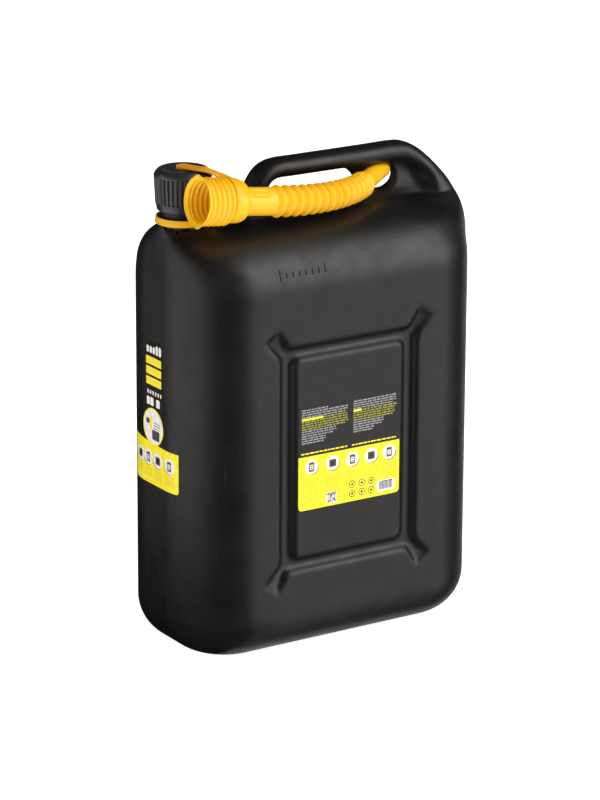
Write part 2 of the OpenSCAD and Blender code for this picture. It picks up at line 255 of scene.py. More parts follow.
def channel_depth(x, z):
    """Depth of the moulded channel round the panel and of its four flared arms."""
    z = z - PANEL_Z
    out_w, out_h = PANEL_HALF_W + CHANNEL_W, PANEL_HALF_H + CHANNEL_H
    ring = smooth_max(
        box_2d(x, z, out_w, out_h, 6.0), -box_2d(x, z, PANEL_HALF_W, PANEL_HALF_H, 5.0), 3.0
    )
    # Each arm runs outwards at the corner, widening as it goes.
    u, v = np.abs(x) - (out_w - 8), np.abs(z) - (out_h - 9)
    lean = np.radians(52)
    along = u * math.cos(lean) + v * math.sin(lean)
    across = v * math.cos(lean) - u * math.sin(lean)
    arm = np.maximum(np.abs(across) - (9.5 + 0.14 * np.maximum(along, 0)), along - 31)
    arm = np.maximum(arm, -along - 4)
    shape = smooth_min(ring, arm, 5.0)
    bevel = 8.0
    fade = ramp(33 - along, 0, 30) ** 0.7
    return CHANNEL_DEPTH * ease(-shape, 0, bevel) * np.where(along > 0, fade, 1)


def smooth_path(points, steps):
    """Points on a Catmull-Rom curve through the given ones."""
    p = [np.array(q, float) for q in points]
    p = [2 * p[0] - p[1], *p, 2 * p[-1] - p[-2]]
    out = []
    for a, b, c, d in zip(p, p[1:], p[2:], p[3:]):
        for t in np.linspace(0, 1, steps, endpoint=False):
            out.append(
                0.5 * (2 * b + (c - a) * t + (2 * a - 5 * b + 4 * c - d) * t * t
                       + (3 * b - a - 3 * c + d) * t**3)
            )
    return np.array([*out, p[-2]])


def handle_path():
    """Centre line of the handle in XZ, and the half height of its section along it."""
    rim_x, rim_z = HALF_W - FIN_X - GRIP_HALF_H, TOP_Z - GRIP_HALF_H - FIN_Z
    rim = [
        (FIN_X + rim_x * math.cos(a) ** (2 / FIN_POWER), FIN_Z + rim_z * math.sin(a) ** (2 / FIN_POWER))
        for a in np.radians([90, 70, 50, 30, 14, 0])
    ]
    grip_z = TOP_Z - GRIP_HALF_H
    line = [(-88, 450), (-74, 474), (-61, 496), (-51.5, 508.5), (-38, grip_z - 0.2), (-15, grip_z)]
    line += [(30, grip_z), (75, grip_z), *rim, (HALF_W - 14, 414)]
    return smooth_path(line, 3)


HANDLE = handle_path()


def handle_field(x, y, z):
    nearest = np.full(x.shape, 1e6, x.dtype)
    for (ax, az), (bx, bz) in zip(HANDLE, HANDLE[1:]):
        dx, dz = bx - ax, bz - az
        t = np.clip(((x - ax) * dx + (z - az) * dz) / (dx * dx + dz * dz), 0, 1)
        foot = ramp(-38 - ax - t * dx, 0, 40)
        reach = GRIP_HALF_H + 1.8 * foot
        nearest = np.minimum(nearest, np.hypot(x - ax - t * dx, z - az - t * dz) / reach)
    return (np.hypot(nearest, y / GRIP_HALF_D) - 1) * GRIP_HALF_H


def web_field(x, y, z):
    """The pinched web under the grip's right-hand half, with the eyelet through it."""
    left = WEB_LEFT - 9 + 12 * ramp(TOP_Z - 2 * GRIP_HALF_H + 2 - z, 0, 16)
    edge = np.maximum(np.maximum(left - x, z - TOP_Z + GRIP_HALF_H), x - right_end(z) + GRIP_HALF_H)
    edge = np.maximum(edge, FIN_Z - z)
    web = smooth_max(np.abs(y) - WEB_HALF_T, edge, 4.0)
    return smooth_max(web, EYELET_R - np.hypot(x - EYELET[0], z - EYELET[2]), 3.0)


def tank_field(x, y, z):
    """Signed distance-like field of the tank, below zero inside."""
    body = body_field(x, y, z)
    f = body + channel_depth(x, z) * ramp(np.abs(y), 60, 72)
    top = z > FRAME_LOW
    if top.any():
        xt, yt, zt = x[top], y[top], z[top]
        ft = f[top]
        frame_top = smooth_min(handle_field(xt, yt, zt), web_field(xt, yt, zt), 9.0)
        # The blend dies out downwards, so that nothing steps where the frame's part begins.
        fading = np.maximum(ramp(zt, FRAME_LOW, FRAME_FULL), 0.02)
        blend = (16 + 26 * ramp(xt, 105, 155)) * fading
        ft = smooth_max(smooth_min(ft, frame_top, blend), xt - right_end(zt), 2.5)
        round_neck = np.hypot(xt - NECK_X, yt)
        boss = smooth_max(round_neck - NECK_FOOT_R - 0.6, zt - ROOF_Z - 2 * ROOF_PROUD, 3.0)
        ft = smooth_min(ft, boss, 9.0)
        # The neck sits in a well that opens into the hollow below it.
        well = np.maximum(round_neck - NECK_FOOT_R - 0.05, neck_low[2] - zt)
        f[top] = np.maximum(ft, -well)
    hollow = smooth_max(body + 9, x + 85, 12.0)
    return np.maximum(f, -hollow)


def gradient(field, p, step=0.35):
    """Slope of a field at points p, by central differences."""
    slope = np.zeros_like(p)
    for axis in range(3):
        ahead, behind = p.copy(), p.copy()
        ahead[:, axis] += step
        behind[:, axis] -= step
        slope[:, axis] = (field(*ahead.T.copy()) - field(*behind.T.copy())) / (2 * step)
    return slope


def onto_surface(field, p, rounds=3):
    for _ in range(rounds):
        slope = gradient(field, p)
        value = field(*p.T.copy())
        move = value[:, None] * slope / np.maximum((slope**2).sum(1), 0.05)[:, None]
        p = p - np.clip(move, -2.0, 2.0)
    return p


def surface_net(field, low, high, cell):
    """Quads over the zero surface of a field, one point per mixed cell of a grid."""
    axes = [np.arange(a, b + cell, cell) for a, b in zip(low, high)]
    shape = tuple(len(a) for a in axes)
    value = np.empty(shape)
    for k, z in enumerate(axes[2]):
        x, y = np.meshgrid(axes[0], axes[1], indexing="ij")
        value[:, :, k] = field(x.ravel(), y.ravel(), np.full(x.size, z)).reshape(x.shape)
    inside = value < 0
    cells = tuple(n - 1 for n in shape)
    cell_corners = [(i, j, k) for i in (0, 1) for j in (0, 1) for k in (0, 1)]

    def shifted(array, corner):
        return array[tuple(slice(c, c + n) for c, n in zip(corner, cells))]

    count = sum(shifted(inside, c).astype(int) for c in cell_corners)
    mixed = (count > 0) & (count < 8)
    at = np.argwhere(mixed)
    values = np.stack([shifted(value, c)[mixed] for c in cell_corners], 1)
    total, hits = np.zeros((len(at), 3)), np.zeros(len(at))
    for (m, a), (n, b) in combinations(enumerate(np.array(cell_corners)), 2):
        if abs(a - b).sum() == 1:
            va, vb = values[:, m], values[:, n]
            cross = (va < 0) != (vb < 0)
            t = np.where(cross, va / np.where(cross, va - vb, 1), 0)
            total += (a + t[:, None] * (b - a)) * cross[:, None]
            hits += cross
    points = np.array([a[0] for a in axes]) + (at + total / hits[:, None]) * cell
    index = np.full(cells, -1)
    index[mixed] = np.arange(len(at))
    faces = []
    for axis in range(3):
        one, two = (axis + 1) % 3, (axis + 2) % 3
        near = [slice(1, n - 1) for n in shape]
        near[axis] = slice(0, shape[axis] - 1)
        far = list(near)
        far[axis] = slice(1, shape[axis])
        first, second = inside[tuple(near)], inside[tuple(far)]
        edges = np.argwhere(first != second)
        outward = first[tuple(edges.T)]
        edges[:, one] += 1
        edges[:, two] += 1
        ring = []
        for back_one, back_two in ((1, 1), (0, 1), (0, 0), (1, 0)):
            cell_at = edges.copy()
            cell_at[:, one] -= back_one
            cell_at[:, two] -= back_two
            ring.append(index[tuple(cell_at.T)])
        quads = np.stack(ring, 1)
        quads[~outward] = quads[~outward][:, ::-1]
        faces.append(quads)
    return points, np.concatenate(faces)


def relax(points, faces, share):
    """Moves each point part of the way towards the middle of its neighbours."""
    total, count = np.zeros_like(points), np.zeros(len(points))
    for a, b in ((0, 1), (1, 2), (2, 3), (3, 0)):
        for start, end in ((a, b), (b, a)):
            np.add.at(total, faces[:, start], points[faces[:, end]])
            np.add.at(count, faces[:, start], 1)
    return points + share * (total / count[:, None] - points)


def make_tank(material):
    cell = 3.1
    margin = 2.5 * cell
    low = tank_low - margin
    high = np.array([tank_high[0], tank_high[1], TOP_Z]) + margin
    points, faces = surface_net(tank_field, low, high, cell)
    points = onto_surface(tank_field, points, 2)
    for _ in range(3):
        points = onto_surface(tank_field, relax(points, faces, 0.5), 2)
    piece = new_mesh("tank_shell", points, faces.tolist(), material)
    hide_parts("tank")
    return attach(piece, "root")


# ---- screw cap, collar, stud


def flute(r, angles, share):
    """Narrow upright grooves round the cap's grip, rounded off at both ends."""
    ends = math.sqrt(1 - (1 - ramp(min(share, 1 - share), 0, 0.1)) ** 2)
    return r - FLUTE_DEPTH * ends * ease(np.cos(CAP_RIBS * angles), -0.15, 0.4)


def make_cap(material):
    floor, top = cap_low[2], cap_high[2] + CAP_CROWN
    grip_low, grip_high = cap_low[2] + 7.8, top - 7.4
    grip_r, grip_taper = 29.15, 1.35
    bore, ceiling = 25.4, top - 3.1
    outside = placed(bore, floor, [(0, 0.5), (0.5, 0), (1.5, 0), (2.1, 0.6), (2.2, 1.8), (2.8, 5.4)])
    outside += placed(bore, floor, [(3.5, 6.8), (3.7, 7.4)])
    shares = [0, 0.02, 0.05, 0.1, *np.linspace(0.2, 0.8, 6), 0.9, 0.95, 0.98, 1]
    outside += [(grip_r + grip_taper * t, grip_low + (grip_high - grip_low) * t) for t in shares]
    outside += placed(CAP_R, top, [(0, -7), (-0.2, -6.2), (-1.6, -3.6), (-3.6, -1.3), (-4.6, -0.5)])
    outside += placed(0, top, [(CAP_R - 5.8, -0.05), (24, 0), (23.4, -0.5), (12, -0.5), (11.4, -0.1)])
    outside += placed(0, top, [(9.4, -0.1), (9, -0.5), (3.35, -0.5), (3.3, -2.2), (0.02, -2.2)])
    inside = [(0.02, ceiling), (24.6, ceiling), (bore, ceiling - 0.8)]
    inside += [(bore, z) for z in np.linspace(ceiling - 2, floor + 1.5, 30)]
    thread_low, thread_high = floor + 4, ceiling - 12

    def cap_radius(r, angles, height):
        if grip_low - 0.01 < height < grip_high + 0.01 and r[0] > grip_r - 0.03:
            return flute(r, angles, (height - grip_low) / (grip_high - grip_low))
        if abs(r[0] - bore) > 1e-6 or not thread_low < height < thread_high:
            return r
        turn = (height - floor) / THREAD_PITCH - angles / (2 * math.pi)
        return r - 1.1 * np.clip(1.6 * np.cos(2 * math.pi * turn) - 0.5, 0, 1)

    points, faces = lathe(outside + inside, 10 * CAP_RIBS, (NECK_X, 0, 0), cap_radius, looped=True)
    piece = new_mesh("cap", points, faces, material)
    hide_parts("screw_cap")
    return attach(piece, "cap")


def make_stud(material):
    low, high = stud_low[2], stud_high[2] + CAP_CROWN
    profile = placed(0, low, [(0.02, 0), (2.7, 0), (3.2, 0.5), (3.2, 2.2), (6.2, 2.2), (6.9, 2.7)])
    profile += placed(0, high, [(7, -1.2), (6.6, -0.4), (5.8, 0), (3, -0.1), (2.2, -0.7), (0.02, -0.9)])
    points, faces = lathe(profile, 72, (NECK_X, 0, 0))
    piece = new_mesh("strap_stud", points, faces, material)
    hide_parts("tether_stud")
    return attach(piece, "stud")


# ---- spout


def axes_at(along):
    side = np.cross([0, 0, 1], along)
    side = side / np.linalg.norm(side)
    return side, np.cross(along, side)


def ring_points(rings, sides):
    """Points of rings, each given as (centre, direction, radii by angle)."""
    angles = round_angles(sides)
    points = []
    for centre, along, radii in rings:
        side, up = axes_at(along)
        across = np.broadcast_to(radii, angles.shape)[:, None]
        points.append(centre + across * (np.cos(angles)[:, None] * side + np.sin(angles)[:, None] * up))
    return np.concatenate(points)


def two_sided_tube(name, outer, inner, sides, outside_material, inside_material):
    """A hollow tube, closed at its rims: along the outside and back along the inside."""
    rings = [*outer, *inner[::-1]]
    points, faces = ring_points(rings, sides), grid_faces(len(rings), sides, looped=True)
    skin = (len(outer) - 1) * sides
    slots = [0] * (skin + sides) + [1] * skin + [0] * sides
    return new_mesh(name, points, faces, outside_material, inside_material, face_slots=slots)


SIDES = 96
ANGLES = round_angles(SIDES)


def angle_from(target):
    """Angle between each point round the spout and a target angle, in radians."""
    return np.abs((ANGLES - math.radians(target) + math.pi) % (2 * math.pi) - math.pi)


def tabs(width):
    """A bump at each of the two tabs, one high and about width radians wide."""
    return sum(np.exp(-((angle_from(TAB_TURN + turn) / width) ** 2)) for turn in (0, 180))


def socket_radius(s):
    """Outer radius round the spout at station s: lip, screw corrugation, shoulder and tube."""
    mean = SOCKET_R - 0.9
    if s < 3.2:
        edge = SOCKET_R + 1.3 + 1.9 * tabs(0.2)
        return edge + (mean - edge) * ease(s, 1.1, 3.2)
    if s <= SOCKET_LEN - 1:
        turn = (s - 1.0) / THREAD_PITCH - ANGLES / (2 * math.pi)
        fade = min(1.0, (s - 3.2) / 3.0, (SOCKET_LEN - 1 - s) / 2.0)
        crest = 1.05 * (1 - 2 * np.abs(2 * (turn % 1.0) - 1) ** 2.6)
        return mean + fade * crest + 0.45 * tabs(0.05)
    if s <= SOCKET_LEN + RING_LEN:
        knots = [0, 3, RING_LEN - 6, RING_LEN + 1]
        return np.full(SIDES, np.interp(s - SOCKET_LEN + 1, knots, [mean, 17.4, 17.2, TUBE_R]))
    # A shallow flat lies along the tube's upper front.
    lengthwise = ramp(min(s - 59.0, 82.0 - s), 0, 2.5)
    return TUBE_R - 1.3 * ramp(0.36 - angle_from(132), 0, 0.1) * lengthwise


def make_socket(outside_material, inside_material):
    stations = [0.0, 0.35, 1.1, 1.8, 2.5, *np.arange(3.2, SOCKET_LEN - 1, 0.5)]
    stations += list(np.arange(SOCKET_LEN - 1, TUBE_END - 0.5, 1.6)) + [TUBE_END]
    outer, inner = [], []
    for s in stations:
        radii = socket_radius(s)
        rounding = 0.6 * max(0.0, 1 - s / 0.5)
        outer.append((MOUTH + s * SPOUT_DIR, SPOUT_DIR, radii - rounding))
        inner.append((MOUTH + s * SPOUT_DIR, SPOUT_DIR, radii - SPOUT_WALL + rounding))
    piece = two_sided_tube(
        "spout_threaded_socket", outer, inner, SIDES, outside_material, inside_material
    )
    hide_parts("spout_socket")
    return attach(piece, "tether")


BELLOWS_START = MOUTH + TUBE_END * SPOUT_DIR
BELLOWS_END = NOZZLE_TIP - NOZZLE_LEN * NOZZLE_DIR
BELLOWS_CURVE = [
    BELLOWS_START,
    BELLOWS_START + 55 * SPOUT_DIR,
    BELLOWS_END - 38 * NOZZLE_DIR,
    BELLOWS_END,
]


def bellows_point(t):
    a, b, c, d = BELLOWS_CURVE
    return (1 - t) ** 3 * a + 3 * (1 - t) ** 2 * t * b + 3 * (1 - t) * t * t * c + t**3 * d


def bellows_slope(t):
    a, b, c, d = BELLOWS_CURVE
    v = (1 - t) ** 2 * (b - a) + 2 * (1 - t) * t * (c - b) + t * t * (d - c)
    return v / np.linalg.norm(v)


def fold_radius(t):
    """Rounded crests with narrow valleys between them, getting smaller towards the nozzle."""
    share = (t * FOLDS) % 1.0
    crest = 1 - abs(2 * share - 1) ** 1.25
    middle = BELLOWS_R - BELLOWS_TAPER * t
    depth = FOLD_DEPTH * (1 - 0.25 * t)
    return middle + depth * (2 * crest - 1)


def make_bellows(name, start, end, node, material, inside_material):
    per_fold = 14
    count = round((end - start) * FOLDS) * per_fold
    outer, inner = [], []
    for t in np.linspace(start, end, count + 1):
        centre, along, radius = bellows_point(t), bellows_slope(t), fold_radius(t)
        outer.append((centre, along, radius))
        inner.append((centre, along, radius - SPOUT_WALL))
    piece = two_sided_tube(name, outer, inner, 72, material, inside_material)
    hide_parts(node)
    return piece


def make_folds(material, inside_material):
    """Three stretches of folds; the middle one is attached to the spout's middle, the outer two to no
    body.
    """
    ends = [0.0, 6 / FOLDS, 8 / FOLDS, 1.0]
    rear, middle, front = (
        make_bellows(f"spout_folds_{place}", a, b, f"spout_bellows_{place}", material, inside_material)
        for place, a, b in zip(("rear", "middle", "front"), ends, ends[1:])
    )
    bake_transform(rear)
    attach(middle, "spout_mid")
    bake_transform(front)
    return rear, middle, front


def make_nozzle(material, inside_material):
    profile = [(0, 12.4), (1.4, 12.9), (3.6, 12.8), (6, 12.0), (9, 11.0), (14, 10.5), (30, 10.1)]
    profile += [(46, 9.9), (NOZZLE_LEN - 4, 9.7), (NOZZLE_LEN - 1.6, NOZZLE_R)]
    profile += [(NOZZLE_LEN - 0.4, NOZZLE_R - 0.8), (NOZZLE_LEN, NOZZLE_R - 1.3)]
    outer = [(BELLOWS_END + s * NOZZLE_DIR, NOZZLE_DIR, r - 0.2) for s, r in profile]
    inner = [(c, a, r - 1.5) for c, a, r in outer]
    piece = two_sided_tube("spout_outlet", outer, inner, 72, material, inside_material)
    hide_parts("spout_nozzle")
    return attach(piece, "spout_tip")


# ---- tether


RING_MID = MOUTH + (SOCKET_LEN + 9.0) * SPOUT_DIR


def make_ring(material):
    """The domed ring that holds the spout by its shoulder."""
    profile = [(18.2, 1.0), (20.8, 0.8), (21.9, 1.2), (22.4, 2.4), (22.5, 7.0), (22.4, 12.0)]
    profile += [(21.8, 15.4), (20.4, 18.0), (18.2, 19.6), (16.2, 20.2), (15.3, 20.3), (15.1, 19.8)]
    profile += [(16.0, 18.2), (17.9, 14.2), (18.1, 8.0)]
    rings = [(MOUTH + (SOCKET_LEN + 0.4 + s) * SPOUT_DIR, SPOUT_DIR, r) for r, s in profile]
    faces = grid_faces(len(rings), SIDES, looped=True)
    piece = new_mesh("tether_ring", ring_points(rings, SIDES), faces, material)
    rounding = piece.modifiers.new("rounding", "SUBSURF")
    rounding.levels = rounding.render_levels = 1
    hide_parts("tether_loops")
    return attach(piece, "tether")


def make_collar(material):
    low, high = ROOF_Z + 2.4, ROOF_Z + 9.4
    inner, outer = NECK_FOOT_R + 0.4, 29.0
    profile = placed(inner, low, [(0, 0.6), (0.5, 0)])
    profile += placed(outer, low, [(0.1, 0), (0.5, 0.5), (0.5, 1.5), (0, 2)])
    profile += placed(outer, high, [(0, -0.8), (-0.6, 0)]) + placed(inner, high, [(0.5, 0), (0, -0.6)])
    points, faces = lathe(profile, 144, (NECK_X, 0, 0), looped=True)
    piece = new_mesh("tether_collar", points, faces, material)
    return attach(piece, "tether")


def rounded_section(count, across_power, through_power):
    """Points round a section between an ellipse (power 1) and a rectangle (power 0)."""
    c, s = np.cos(round_angles(count)), np.sin(round_angles(count))
    return np.sign(c) * np.abs(c) ** across_power, np.sign(s) * np.abs(s) ** through_power


def band_axes(path, i, wide_at):
    """Width and thickness directions of a band at point i of its path."""
    ahead = path[min(i + 1, len(path) - 1)] - path[max(i - 1, 0)]
    ahead = ahead / np.linalg.norm(ahead)
    wide = wide_at(np.cross(ahead, [0, 0, 1.0]))
    wide = wide - ahead * (wide @ ahead)
    wide = wide / np.linalg.norm(wide)
    return wide, np.cross(wide, ahead)


SPOUT_UP = np.cross([0.0, -1.0, 0.0], SPOUT_DIR)


def ring_point(s, angle, r):
    """A point over the ring: station s, angle from its top towards the back, and radius r."""
    over = math.cos(angle) * SPOUT_UP + math.sin(angle) * np.array([0.0, 1.0, 0.0])
    return MOUTH + s * SPOUT_DIR + r * over, over


STRAP_HALF_W, STRAP_HALF_T = 7.2, 1.5


def make_strap(material):
    """From the stud over the cap's edge, then widening to lie over the ring like its skin."""
    hub = np.array([NECK_X, 0.0, stud_high[2] + CAP_CROWN - STRAP_HALF_T])
    wrap, middle, seat = [], SOCKET_LEN + 10.4, 21.6
    for angle in np.radians([-78, -55, -35, -15, 2, 16]):
        wrap.append(ring_point(middle, angle, seat - 2.1 * max(0.0, -angle - 0.3))[0])
    lead = wrap[-1]
    line = [hub + [1.5, -6.5, 0], hub + [3.2, -10.0, 0], hub + [6.6, -18, 0.1]]
    line += [hub + [11.5, -27.5, 0.2]]
    line += [lead + [-2.2, 15.5, 0.9], lead + [-0.4, 6.5, -0.2], *wrap[::-1]]
    path = smooth_path([hub + [-0.8, 5.4, 0], hub + [0.3, -1.0, 0], *line], 5)
    ring_slope = 4.8 / 19.6
    rows, painted_shade_toward_cap = [], []
    across, through = rounded_section(28, 0.45, 0.6)
    for i, point in enumerate(path):
        from_hub = hub[1] - point[1]
        turn = ease(from_hub, 22, 48)
        over = ring_point(0, math.atan2(point[1] - MOUTH[1], 20.0), 1)[1]
        on_ring = ring_slope * over - SPOUT_DIR
        wide, thick = band_axes(path, i, lambda flat: (1 - turn) * flat + turn * on_ring)
        half_w = STRAP_HALF_W + 2.6 * ramp(from_hub, 14, 52) ** 1.3
        tip = ramp(np.linalg.norm(point - path[0]), 0, STRAP_HALF_W)
        half_w *= math.sqrt(max(0.02, 1 - (1 - tip) ** 2))
        crown = 1.5 * turn * (1 - across**2)
        # A raised rim runs along both edges where the strap lies on the cap.
        rim = 0.35 * (1 - turn) * ramp(np.abs(across), 0.62, 0.82) * (through > 0)
        half_t = STRAP_HALF_T - 0.2 * turn
        rows.append(
            point + (half_w * across)[:, None] * wide
            + (half_t * through + crown + rim)[:, None] * thick
        )
        painted_shade_toward_cap += [1 - ramp(from_hub, 12, 52)] * len(across)
    faces = capped(len(rows), len(across))
    piece = new_mesh("tether_band", np.concatenate(rows), faces, material)
    # The material reads this to paint shade on the strap, darker towards the cap.
    layer = piece.data.attributes.new("painted_shade_toward_cap", "FLOAT", "POINT")
    layer.data.foreach_set("value", [float(v) for v in painted_shade_toward_cap])
    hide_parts("tether_strap")
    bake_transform(piece)
    return piece


def make_link(material):
    """The web that joins the collar to the ring, behind the spout."""
    start = np.array([NECK_X, 0, ROOF_Z + 5.1]) + (NECK_FOOT_R + 1.6) * towards(math.radians(-38), 0)
    end = RING_MID + np.array([-1.0, 13.6, -12.6])
    path = smooth_path([start, start + 0.35 * (end - start) + [0, 0, -1.2], end], 8)
    across, through = rounded_section(20, 0.5, 0.5)
    half_w, half_t = 4.6, 1.9
    rows = []
    for i, point in enumerate(path):
        wide, thick = band_axes(path, i, lambda flat: flat)
        rows.append(point + half_w * across[:, None] * wide + half_t * through[:, None] * thick)
    faces = capped(len(rows), len(across))
    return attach(new_mesh("tether_link", np.concatenate(rows), faces, material), "tether")


# ---- labels and fill mark


def on_front(x, z, level):
    """A point of the front panel's face, raised by level."""
    return np.stack([x, np.full_like(x, -HALF_D - level), z], -1)


def on_left_end(w, z, level):
    """A point of the left end, w being the length along the skin from its middle to the back."""
    turn = np.clip(np.abs(w) - SIDE_FLAT, 0, None) / EDGE_R
    reach = EDGE_R + level
    x = EDGE_R - HALF_W - reach * np.cos(turn)
    y = np.sign(w) * (np.minimum(np.abs(w), SIDE_FLAT) + reach * np.sin(turn))
    return np.stack([x, y, z], -1)


def on_shoulder(x, z, level):
    """A point of the front shoulder, raised by level."""
    y = -(RIDGE_T + (HALF_D - RIDGE_T) * dome(z, SHOULDER_Z, ROOF_Z))
    surface = np.stack([x, y, z], -1)
    slope = gradient(body_field, surface.reshape(-1, 3)).reshape(surface.shape)
    return surface + level * slope / np.linalg.norm(slope, axis=-1, keepdims=True)


def disc(x, z, r):
    """Columns (x, lowest z, highest z) of a disc."""
    t = np.linspace(0, math.pi, 25)
    return x - r * np.cos(t), z - r * np.sin(t), z + r * np.sin(t)


def block(x0, x1, z0, z1, r=0.0, step=4.0):
    """Columns of a rectangle with rounded corners."""
    t = np.linspace(0, math.pi / 2, 7)
    corner = r * (1 - np.cos(t))
    middle = np.linspace(x0 + r, x1 - r, max(2, int((x1 - x0) / step)) + 1)
    x = np.concatenate([x0 + corner[:-1], middle, (x1 - corner[:-1])[::-1]]) if r else middle
    inset = r - np.sqrt(np.maximum(r * r - (r - np.minimum(x - x0, x1 - x).clip(0, r)) ** 2, 0))
    return x, z0 + inset, z1 - inset


class Print:
    """Thin closed plates laid on a surface and joined into one piece."""

    def __init__(self, place):
        self.place, self.points, self.faces, self.slots = place, [], [], []
        self.count = 0

    def add(self, columns, slot, low, high):
        """One plate between two levels above the surface, from its columns."""
        x, z0, z1 = columns
        n = len(x)
        loops = [(z0, low), (z0, high), (z1, high), (z1, low)]
        self.points += [self.place(x, z, level) for z, level in loops]
        start = self.count
        for i in range(n - 1):
            for a in range(4):
                b = (a + 1) % 4
                j, k = start + a * n + i, start + b * n + i
                self.faces.append((j, j + 1, k + 1, k))
        self.faces.append(tuple(start + a * n for a in range(4)))
        self.faces.append(tuple(start + a * n + n - 1 for a in range(4))[::-1])
        self.slots += [slot] * (4 * (n - 1) + 2)
        self.count += 4 * n

    def finish(self, name, materials):
        points = np.concatenate(self.points)
        piece = new_mesh(name, points, self.faces, *materials, face_slots=self.slots)
        mesh = bmesh.new()
        mesh.from_mesh(piece.data)
        bmesh.ops.recalc_face_normals(mesh, faces=mesh.faces)
        mesh.to_mesh(piece.data)
        mesh.free()
        piece.data.set_sharp_from_angle(angle=math.radians(35))
        return piece


FILM, YELLOW, WHITE, GREY, OLIVE, AMBER, PALE = range(7)
FILM_T, INK_T = 0.22, 0.05


def ink(sheet, columns, slot, layer=1):
    """Ink over the film: each layer lies on the one before it."""
    sheet.add(columns, slot, FILM_T + (layer - 2) * INK_T, FILM_T + layer * INK_T)


def print_lines(sheet, x0, x1, top, rows, pitch, slot, dice, layer=1, thick=0.85, last=1.0):
    """Rows of short bars in place of print; the last row reaches only part of the way."""
    for row in range(rows):
        z = top - row * pitch
        end = x0 + (x1 - x0) * (last if row == rows - 1 else dice.uniform(0.93, 1.0))
        x = x0
        while x < end - 1.0:
            word = min(dice.uniform(2.0, 6.5), end - x)
            ink(sheet, block(x, x + word, z - thick / 2, z + thick / 2, step=8), slot, layer)
            x += word + 1.0


def picture_disc(sheet, x, z, r, tall):
    """A white disc with a thin shadow and a simple grey device, tall or wide, on it."""

    def box(half_w, low, high, corner=0.0):
        return block(x - half_w * r, x + half_w * r, z + low * r, z + high * r, corner * r)

    ink(sheet, disc(x + 0.7, z - 0.7, r), FILM, 2)
    ink(sheet, disc(x, z, r), WHITE, 3)
    half_w, half_h = (0.40, 0.62) if tall else (0.52, 0.50)
    ink(sheet, box(half_w, -half_h, half_h, 0.12), GREY, 4)
    ink(sheet, box(0.26, -0.36, 0.3, 0.05), WHITE if tall else FILM, 5)
    for bar in (0.12, -0.18):
        ink(sheet, box(0.16, bar - 0.06, bar + 0.06), GREY, 6)


def ring_mark(sheet, x, z, r):
    for layer, (share, slot) in enumerate(((1.0, GREY), (0.78, YELLOW), (0.36, GREY)), 2):
        ink(sheet, disc(x, z, share * r), slot, layer)


def make_front_label(materials):
    dice = random.Random(11)
    sheet = Print(on_front)
    x0, x1, z0, z1 = front_low[0], front_high[0], front_low[2], front_high[2]
    edge = z1 - 55.0
    sheet.add(block(x0, x1, z0, z1, 4.0, 16), FILM, -0.3, FILM_T)
    x, low, high = block(x0, x1, z0, edge, 4.5, 16)
    ink(sheet, (x, low, np.full_like(x, edge)), YELLOW)
    print_lines(sheet, x0 + 3.5, -2.0, edge + 3.4, 1, 1, YELLOW, dice, thick=1.5)
    print_lines(sheet, 3.5, x1 - 3.5, edge + 3.4, 1, 1, YELLOW, dice, thick=1.5)
    for left, right, rows in ((x0 + 4, 0.5, (1, 3, 5, 3, 3)), (5.0, x1 - 3.5, (0, 4, 5, 3, 2))):
        top = z1 - 3.5
        pitch = 2.6
        inks = (PALE, PALE, OLIVE, PALE, PALE)
        reach = (0.6, 1.0, 1.0, 0.72, 0.5)
        for part, (count, slot, share) in enumerate(zip(rows, inks, reach)):
            end = left + (right - left) * share
            thick = 1.5 if slot == OLIVE else 1.25
            print_lines(sheet, left, end, top, count, pitch, slot, dice, thick=thick, last=0.9)
            if slot == OLIVE:
                # The first words of the coloured paragraph are marked.
                mark = left + (0.44 if left < 0 else 0.18) * (right - left)
                ink(sheet, block(left, mark, top - 1.1, top + 1.3), YELLOW, 2)
            top -= count * pitch
    dark_rows = (11, 9, 6, 4, 8)
    discs = (-47.5, -21.0, 4.0, 28.0, 51.0)
    for kind, (x, rows) in enumerate(zip(discs, dark_rows)):
        picture_disc(sheet, x, edge - 12.2, 8.3, tall=kind % 2 == 0)
        print_lines(sheet, x - 8.5, x + 10, edge - 25, rows, 2.7, AMBER, dice, 2, thick=0.9, last=0.7)
    for row in range(2):
        for column in range(3):
            ring_mark(sheet, 4.0 + 12.2 * column, z0 + 19.0 - 10.4 * row, 4.1)
    patch = 12.6
    px, pz = -28.6, z0 + 2.8
    ink(sheet, block(px, px + patch, pz, pz + patch, 0.5), WHITE, 2)
    cell = patch / 15
    for i in range(1, 14):
        for k in range(1, 14):
            if dice.random() < 0.5:
                a, b = px + i * cell, pz + k * cell
                ink(sheet, block(a, a + cell, b, b + cell, step=9), GREY, 3)
    ink(sheet, block(35.6, 58.4, z0 + 4.6, z0 + 17.2, 1.4), WHITE, 2)
    x = 38.6
    while x < 55.2:
        width = dice.choice((0.35, 0.35, 0.7, 1.05))
        ink(sheet, block(x, x + width, z0 + 6.8, z0 + 15.4, step=9), GREY, 3)
        x += width + dice.choice((0.4, 0.4, 0.75))
    piece = sheet.finish("label_front_print", materials)
    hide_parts("label_front")
    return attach(piece, "root")


